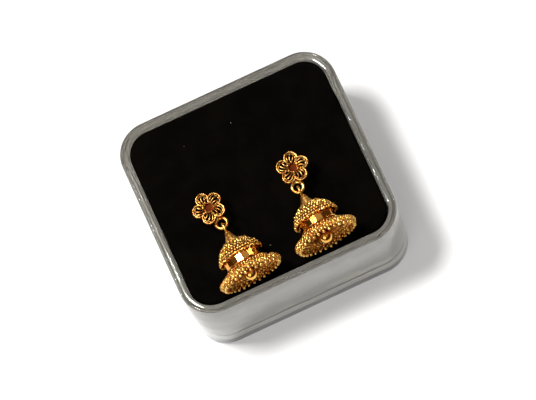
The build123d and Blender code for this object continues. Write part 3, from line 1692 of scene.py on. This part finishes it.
    def swirl_path(self, start: float, end: float) -> list[Vector]:
        """Middle line of one swirl wire, from the cup out to its petal's rim.

        Args:
            start: Angle of its inner end from the petal's middle, in degrees.
            end: Angle of its outer end.

        Returns:
            The points of the line, which rises between its ends.
        """
        inner = on_circle(1, math.radians(90 + start)) * (self.cup_radius - self.swirl_overlap)
        aside = self.petal_reach * math.sin(math.radians(end))
        outer_reach = self.petal_reach * math.cos(math.radians(end))
        outer_reach += math.sqrt(self.petal_radius**2 - aside**2)
        outer = on_circle(1, math.radians(90 + end)) * outer_reach
        half = (outer - inner) / 2
        rise = math.sqrt(self.swirl_radius**2 - half.length_squared)
        across = Vector((-half.y, half.x, 0)).normalized()
        centre = inner + half - across * rise
        first = math.atan2(inner.y - centre.y, inner.x - centre.x)
        last = math.atan2(outer.y - centre.y, outer.x - centre.x)
        turn = (last - first + math.pi) % math.tau - math.pi
        path = arc_path(centre.xy, self.swirl_radius, first, first + turn, self.swirl_steps)
        for index, point in enumerate(path):
            point.z = self.swirl_arch * math.sin(math.pi * index / (len(path) - 1))
        return path

    def ring(self) -> None:
        """Makes the ring that the bell hangs on, with its solder."""
        centre = Matrix.Translation((0, -self.place.ring_reach, -self.place.ring_drop))
        path = circle_path(self.ring_radius, self.ring_steps)
        hoop = wire(path, self.ring_wire, sides=14, closed=True)
        unsettle(hoop, self.hammering, self.hammer_length, self.noise_start())
        for vert in hoop.verts:
            share = max(0.0, (vert.co.y - self.bend_start) / (self.ring_radius - self.bend_start))
            vert.co.z -= self.ring_bend * min(share * share, 1.0)
        joint = Vector((0, self.ring_radius + self.solder_reach, -self.ring_bend))
        ring = Joiner()
        ring.add(hoop, centre)
        ring.add(ball(joint, self.solder_radius, fineness=3, squash=self.solder_squash), centre)
        self.show(ring, "stud_ring", [self.palette.wirework])

    def post(self) -> None:
        """Makes the ear post, one plain wire with a tapered tip."""
        top = -self.cup_depth + self.post_seat
        end = -self.cup_depth - self.post_length
        wide, narrow = self.tip_shares
        outline = [
            (0, top),
            (self.post_radius, top),
            (self.post_radius, end + self.post_tip),
            (self.post_radius * wide, end + self.tip_round),
            (self.post_radius * narrow, end),
            (0, end),
        ]
        post = Joiner(revolve(outline, self.post_steps, closed=False))
        self.show(post, "ear_post", [self.palette.wirework])


@dataclass
class EyePin(EarringPart):
    """Wire eye with a wound collar, and its shank through the bell."""

    slot: ClassVar[Slot] = Slot.GOLD_WIRE
    half_width: float = 0.95
    start: float = 0.88
    end: float = 1.4
    wire_radius: float = 0.31
    loop_steps: int = 16
    collar_start: float = 2.2
    collar_end: float = 2.68
    collar_radius: float = 0.48
    collar_turns: int = 3
    collar_overlap: float = 1.08
    collar_steps: int = 28
    shank_radius: float = 0.25
    shank_end: float = 6.75
    head_radius: float = 0.9
    head: float = 0.3
    head_round: float = 0.08
    shank_steps: int = 24

    def build(self) -> None:
        """Makes the pin, whose eye lies in the plane of the bell's axis and its height."""
        bends = [math.pi * step / self.loop_steps for step in range(self.loop_steps + 1)]
        loop = [self.on_loop(math.pi + angle, self.start) for angle in bends]
        loop += [self.on_loop(angle, self.end) for angle in bends]
        pin = Joiner(wire(loop, self.wire_radius, sides=12, closed=True, up=Vector((1, 0, 0))))
        pitch = (self.collar_end - self.collar_start) / self.collar_turns
        for row in range(self.collar_turns):
            height = self.collar_start + pitch * (row + 0.5)
            coil = circle_path(self.collar_radius - pitch / 2, self.collar_steps, height)
            pin.add(wire(coil, pitch / 2 * self.collar_overlap, closed=True))
        outline = [
            (0, self.collar_start),
            (self.shank_radius, self.collar_start),
            (self.shank_radius, self.shank_end - self.head),
            (self.head_radius - self.head_round, self.shank_end - self.head),
            (self.head_radius, self.shank_end - self.head + self.head_round),
            (self.head_radius, self.shank_end - self.head_round),
            (self.head_radius - self.head_round, self.shank_end),
            (0, self.shank_end),
        ]
        pin.add(revolve(outline, self.shank_steps, closed=False))
        self.show(pin, "eye_wire", [self.palette.wirework], "eye_pin")

    def on_loop(self, angle: float, middle: float) -> Vector:
        """Point of the eye's loop, at an angle round the middle of one of its two bends."""
        return Vector((0, self.half_width * math.cos(angle), middle + self.half_width * math.sin(angle)))


@dataclass
class GrainedPart(EarringPart):
    """Part of the bell that is set with grains."""

    grain: float = 0.37
    seat: float = 0.45
    pitch: float = 0.84
    unrest: float = 0.26
    unrest_length: float = 0.9

    def here(self) -> Matrix:
        """Place of the part in the row frame, turned about the bell's axis."""
        return to_row(self.place.bell_frame(self.pad_top) @ turned(self.place.spin))

    def unsettled(self, grains: BMesh, share: float = 1.0, stretch: float = 1.0) -> BMesh:
        """Shifts grains a little, so that no two are the same.

        Args:
            grains: The grains, which are changed.
            share: How far they move, as a share of the part's unrest.
            stretch: Distance over which the moves change, as a multiple of the part's own.

        Returns:
            The same grains.
        """
        return unsettle(grains, self.unrest * share, self.unrest_length * stretch, self.noise_start())

    def add_rows(self, piece: Joiner, outline: Sequence[Point]) -> None:
        """Sets staggered rows of grains on a stretch of an outline.

        Args:
            piece: What they are added to.
            outline: The stretch.
        """
        for row, (point, normal) in enumerate(spaced_along(outline, self.pitch)):
            radius = point[0] + normal[0] * self.grain * self.seat
            height = point[1] + normal[1] * self.grain * self.seat
            ring = grain_ring(radius, height, self.grain, self.pitch, shift=0.5 * (row % 2))
            piece.add(self.unsettled(ring))


class CapFinish(IntEnum):
    """Finishes of the cap, in the order of its materials."""

    GRAINS = 0
    GROUND = 1
    CONE = 2


@dataclass
class BellCap(GrainedPart):
    """Cone and dome set with grains, with a toothed lower edge."""

    slot: ClassVar[Slot] = Slot.GOLD_GRANULATED
    wall: float = 0.25
    start: Point = (0.62, 2.75)
    waist: Point = (1.1, 3.8)
    shoulder: Point = (2.1, 5.55)
    middle: Point = (4.5, 7.4)
    edge: Point = (5.85, 9.95)
    cone_steps: int = 8
    dome_steps: int = 16
    steps: int = 144
    skin: float = 0.12
    skin_overlap: float = 1.5
    ropes: Point = (0.2, 0.12)
    rope_lift: float = 0.06
    rope_fineness: float = 90.0
    teeth: int = 24
    tooth_length: float = 1.2
    tooth_cut: float = 0.5
    tooth_grain: float = 0.75
    tooth_spread: float = 0.36
    tooth_lift: float = 0.12
    tooth_rows: Point = (-0.5, -0.15)

    def build(self) -> None:
        """Makes the cap."""
        cone = arc_points(self.start, self.waist, self.shoulder, self.cone_steps)
        dome = arc_points(self.shoulder, self.middle, self.edge, self.dome_steps)
        cap = Joiner()
        shell = revolve(wall_outline([*cone, *dome[1:]], self.wall), self.steps)
        for vert in shell.verts:
            self.cut_teeth(vert)
        # The shell shows between the grains in the ground gold, which is painted shade between the
        # grains.
        cap.add(shell, finish=CapFinish.GROUND)
        sleeve = [(radius + self.skin, height) for radius, height in cone]
        skin = revolve(wall_outline(sleeve, self.skin * self.skin_overlap), self.steps)
        cap.add(skin, finish=CapFinish.CONE)
        self.add_rows(cap, dome[1:-1])
        for (radius, height), thickness in zip((self.shoulder, self.start), self.ropes):
            path = circle_path(radius + self.rope_lift, round(radius * self.rope_fineness), height)
            for strand in rope_ring(path, thickness):
                cap.add(strand)
        self.add_tooth_grains(cap)
        materials = [self.palette.granules, self.palette.ground, self.palette.skin]
        self.show(cap, "cap_granulation", materials, "bell_cap")

    def cut_teeth(self, vert: BMVert) -> None:
        """Draws the shell's edge back between the teeth.

        Args:
            vert: Vertex of the shell, which is moved.
        """
        share = (vert.co.z - (self.edge[1] - self.tooth_length)) / self.tooth_length
        if share <= 0 or math.hypot(vert.co.x, vert.co.y) < self.middle[0]:
            return
        angle = math.atan2(vert.co.y, vert.co.x) * self.teeth / 2
        vert.co.z -= self.tooth_cut * share * abs(math.sin(angle))

    def add_tooth_grains(self, cap: Joiner) -> None:
        """Puts a point of three grains on each tooth.

        Args:
            cap: What they are added to.
        """
        spread = self.tooth_spread / self.edge[0]
        pair, tip = self.tooth_rows
        for angle, rise in ((-spread, pair), (spread, pair), (0.0, tip)):
            centre = on_circle(self.edge[0] + self.tooth_lift, angle, self.edge[1] + rise)
            grains = repeat_round(ball(centre, self.grain * self.tooth_grain), self.teeth)
            cap.add(self.unsettled(grains, share=0.5))


class BrimFinish(IntEnum):
    """Finishes of the brim's trim, in the order of its materials."""

    GRAINS = 0
    JOINT = 1


@dataclass
class BellBowl(GrainedPart):
    """Crown, faceted band, flared brim with its grains, and the bead fringe."""

    slot: ClassVar[Slot] = Slot.GOLD_BEADED
    grain: float = 0.34
    seat: float = 0.5
    unrest: float = 0.24
    unrest_length: float = 0.95
    wall: float = 0.25
    bore: float = 0.33
    crown: Point = (1.6, 5.95)
    crown_middle: Point = (3.9, 7.7)
    band_start: Point = (5.0, 9.9)
    band_end: Point = (5.0, 12.0)
    brim_middle: Point = (6.05, 13.3)
    brim_edge: Point = (8.3, 14.35)
    curve_steps: int = 12
    steps: int = 96
    facets: int = 20
    facet_lift: float = 0.1
    facet_seat: float = 0.1
    facet_round: float = 0.1
    band_margins: Point = (0.25, 0.05)
    joint_wire: float = 0.16
    joint_steps: int = 90
    bare_steps: int = 3
    edge_grain: float = 0.4
    edge_pitch: float = 2.2
    edge_rings: tuple[Point, ...] = ((8.35, 14.4), (7.55, 14.35), (6.75, 13.95))
    columns: int = 32
    bead_rows: tuple[tuple[float, float, float], ...] = ((8.33, 14.85, 0.52), (7.9, 15.7, 0.46))
    between: tuple[float, float, float] = (8.25, 15.2, 0.33)

    def build(self) -> None:
        """Makes the shell, the band, the brim's trim and the fringe."""
        self.shell()
        self.band()
        self.brim()
        self.fringe()

    def brim_outline(self) -> list[Point]:
        """Outer side of the brim, from the band to the mouth."""
        return arc_points(self.band_end, self.brim_middle, self.brim_edge, self.curve_steps)

    def shell(self) -> None:
        """Makes the thin metal of the bowl, in a darker gold that is painted shade inside the bell."""
        crown = arc_points(self.crown, self.crown_middle, self.band_start, self.curve_steps)
        outer = [(self.bore, self.crown[1]), *crown, *self.brim_outline()]
        bowl = Joiner(revolve(wall_outline(outer, self.wall), self.steps))
        self.show(bowl, "bowl_shell", [self.palette.inside], "bell_bowl")

    def band(self) -> None:
        """Makes the mirror-bright band of flat facets."""
        outer = (self.band_start[0] + self.facet_lift) / math.cos(math.pi / self.facets)
        inner = self.band_start[0] - self.facet_seat
        low = self.band_start[1] - self.band_margins[0]
        high = self.band_end[1] - self.band_margins[1]
        bm = revolve([(outer, low), (outer, high), (inner, high), (inner, low)], self.facets)
        upright = upright_edges(bm, least=(high - low) / 2)
        folds = [edge for edge in upright if edge.verts[0].co.xy.length > self.band_start[0]]
        round_edges(bm, folds, self.facet_round, 1)
        band = Joiner()
        band.add(bm, smooth=False)
        self.show(band, "faceted_band", [self.palette.mirror])

    def brim(self) -> None:
        """Makes the wires and grains outside the brim."""
        trim = Joiner()
        around = self.band_end[0] + self.joint_wire
        joint = circle_path(around, self.joint_steps, self.band_end[1] - self.joint_wire)
        trim.add(wire(joint, self.joint_wire, sides=10, closed=True), finish=BrimFinish.JOINT)
        self.add_rows(trim, self.brim_outline()[self.bare_steps : -1])
        for radius, height in self.edge_rings:
            ring = grain_ring(radius, height, self.edge_grain, self.edge_pitch * self.edge_grain)
            trim.add(self.unsettled(ring, share=0.5))
        self.show(trim, "brim_granulation", [self.palette.granules, self.palette.polish])

    def fringe(self) -> None:
        """Makes the columns of beads round the mouth."""
        fringe = Joiner()
        for ring, height, radius in self.bead_rows:
            beads = repeat_round(ball(Vector((ring, 0, height)), radius, fineness=3), self.columns)
            fringe.add(self.unsettled(beads, share=0.5, stretch=2.0))
        ring, height, radius = self.between
        grains = repeat_round(ball(Vector((ring, 0, height)), radius), self.columns)
        fringe.add(grains, Matrix.Rotation(math.pi / self.columns, 4, "Z"))
        self.show(fringe, "bead_fringe", [self.palette.granules])


@dataclass
class Clapper(EarringPart):
    """Polished ball and the wire that it hangs on inside the bell."""

    slot: ClassVar[Slot] = Slot.GOLD_POLISHED
    radius: float = 1.95
    drop: float = 1.8
    position: float = 14.4
    hanger: float = 0.2
    hanger_start: float = 7.05
    hanger_drop: float = 0.7
    hanger_steps: int = 6
    segments: int = 48
    rings: int = 28

    def build(self) -> None:
        """Makes the clapper."""
        centre = Vector((0, -self.drop, self.position))
        sphere = bmesh.new()
        bmesh.ops.create_uvsphere(
            sphere,
            u_segments=self.segments,
            v_segments=self.rings,
            radius=self.radius,
            matrix=Matrix.Translation(centre),
        )
        top = Vector((0, -self.hanger_drop, self.hanger_start))
        path = [top.lerp(centre, step / self.hanger_steps) for step in range(self.hanger_steps + 1)]
        clapper = Joiner(sphere, wire(path, self.hanger, sides=10, up=Vector((0, 1, 0))))
        self.show(clapper, "clapper_ball", [self.palette.polish], "clapper")


# ---------------------------------------------------------------------------
# Studio
# ---------------------------------------------------------------------------


@dataclass(frozen=True)
class SoftBox:
    """One soft light, aimed at the object."""

    name: str
    direction: tuple[float, float, float]
    width: float
    height: float
    power: float
    distance: float = 0.9

    def build(self, target: Vector) -> None:
        """Makes the light.

        Args:
            target: Point that it faces.
        """
        data = bpy.data.lights.new(self.name, "AREA")
        data.shape = "RECTANGLE"
        data.size = self.width
        data.size_y = self.height
        data.energy = self.power
        light = linked(self.name, data)
        away = Vector(self.direction).normalized()
        light.location = target + away * self.distance
        light.rotation_euler = away.to_track_quat("Z", "Y").to_euler()


@dataclass
class Studio:
    """Pale floor, soft lights, a dim room and the camera, with sizes in metres."""

    elevation: float = 74.0
    roll: float = -24.8
    distance: float = 1.2
    field_width: float = 0.138
    sensor: float = 36.0
    clip_range: Point = (0.01, 10.0)
    aim: Point = (0.00047, -0.00568)
    horizon: Colour = (0.060, 0.034, 0.018)
    zenith: Colour = (0.45, 0.44, 0.42)
    horizon_rise: float = 0.55
    zenith_rise: float = 0.97
    floor_size: float = 3.0
    floor_gap: float = 0.0001
    lights: tuple[SoftBox, ...] = (
        SoftBox("key", (-0.222, 0.152, 0.963), 0.17, 0.17, power=13.6),
        SoftBox("upper", (-0.36, 0.28, 0.89), 0.14, 0.14, power=0.35),
        SoftBox("side", (0.845, 0.262, 0.467), 0.11, 0.11, power=0.60),
        SoftBox("front", (-0.45, -0.62, 0.64), 0.60, 0.60, power=2.2),
        SoftBox("back", (-0.03, 0.955, 0.29), 0.30, 0.26, power=0.8),
    )

    def build(self, target_height: float, palette: Palette) -> None:
        """Makes the studio.

        Args:
            target_height: Height that the camera aims at.
            palette: The finishes, the floor's among them.
        """
        self.make_floor(palette)
        target = Vector((*self.aim, target_height))
        for light in self.lights:
            light.build(target)
        self.make_camera(target)
        self.make_room()
        bpy.context.scene.view_settings.view_transform = "Standard"

    def make_room(self) -> None:
        """Makes the room's dim light, brighter overhead than at the sides."""
        world = bpy.data.worlds.new("room")
        world.use_nodes = True
        desk = NodeDesk(world.node_tree)
        direction = desk.add("ShaderNodeTexCoord").outputs["Generated"]
        parts = desk.feed(desk.add("ShaderNodeSeparateXYZ"), Vector=direction)
        share = desk.add("ShaderNodeMapRange", interpolation_type="SMOOTHSTEP")
        desk.feed(share, Value=parts.outputs["Z"], From_Min=self.horizon_rise, From_Max=self.zenith_rise)
        colour = desk.blend(share.outputs[0], opaque(self.horizon), opaque(self.zenith))
        desk.feed(world.node_tree.nodes["Background"], Color=colour)
        bpy.context.scene.world = world

    def make_floor(self, palette: Palette) -> None:
        """Makes the floor, a hair below the box.

        Args:
            palette: The finishes, the floor's among them.
        """
        bm = bmesh.new()
        bmesh.ops.create_grid(bm, x_segments=2, y_segments=2, size=self.floor_size / 2)
        bmesh.ops.translate(bm, vec=(0, 0, -self.floor_gap), verts=bm.verts)
        mesh = finished_mesh(bm, "studio_floor")
        mesh.materials.append(palette.floor)
        floor = linked("studio_floor", mesh)

    def make_camera(self, target: Vector) -> None:
        """Makes the camera.

        Args:
            target: Point in the middle of its view.
        """
        data = bpy.data.cameras.new("camera")
        data.sensor_width = self.sensor
        data.lens = self.sensor * self.distance / self.field_width
        data.clip_start, data.clip_end = self.clip_range
        camera = linked("camera", data)
        rise = math.radians(self.elevation)
        back = Vector((0, -math.cos(rise), math.sin(rise)))
        across = Vector((1, 0, 0))
        level = frame_of(target + back * self.distance, across, back.cross(across), back)
        camera.matrix_world = level @ turned(self.roll)
        bpy.context.scene.camera = camera


def main() -> None:
    """Builds the object round the frame, piece by piece, and its studio."""
    logging.basicConfig(level=logging.INFO, format="%(name)s %(message)s")
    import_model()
    palette = Palette()
    box_low, box_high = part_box("clear_box")
    pad_low, pad_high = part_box("foam_pad")
    pad_top = pad_high.z / MM
    pad_bottom = pad_low.z / MM
    box_size = (box_high - box_low) / MM
    pad_size = (pad_high - pad_low) / MM

    ClearBox(*box_size, ledge_top=pad_bottom - PAD_CLEARANCE).build(palette)
    FoamPad(pad_size.x, pad_size.y, pad_top, pad_bottom).build(palette, PLACES)
    for place in PLACES:
        for part in (Stud, EyePin, BellCap, BellBowl, Clapper):
            part(place, pad_top, palette).build()
    Studio().build(pad_high.z, palette)


if __name__ == "__main__":
    main()
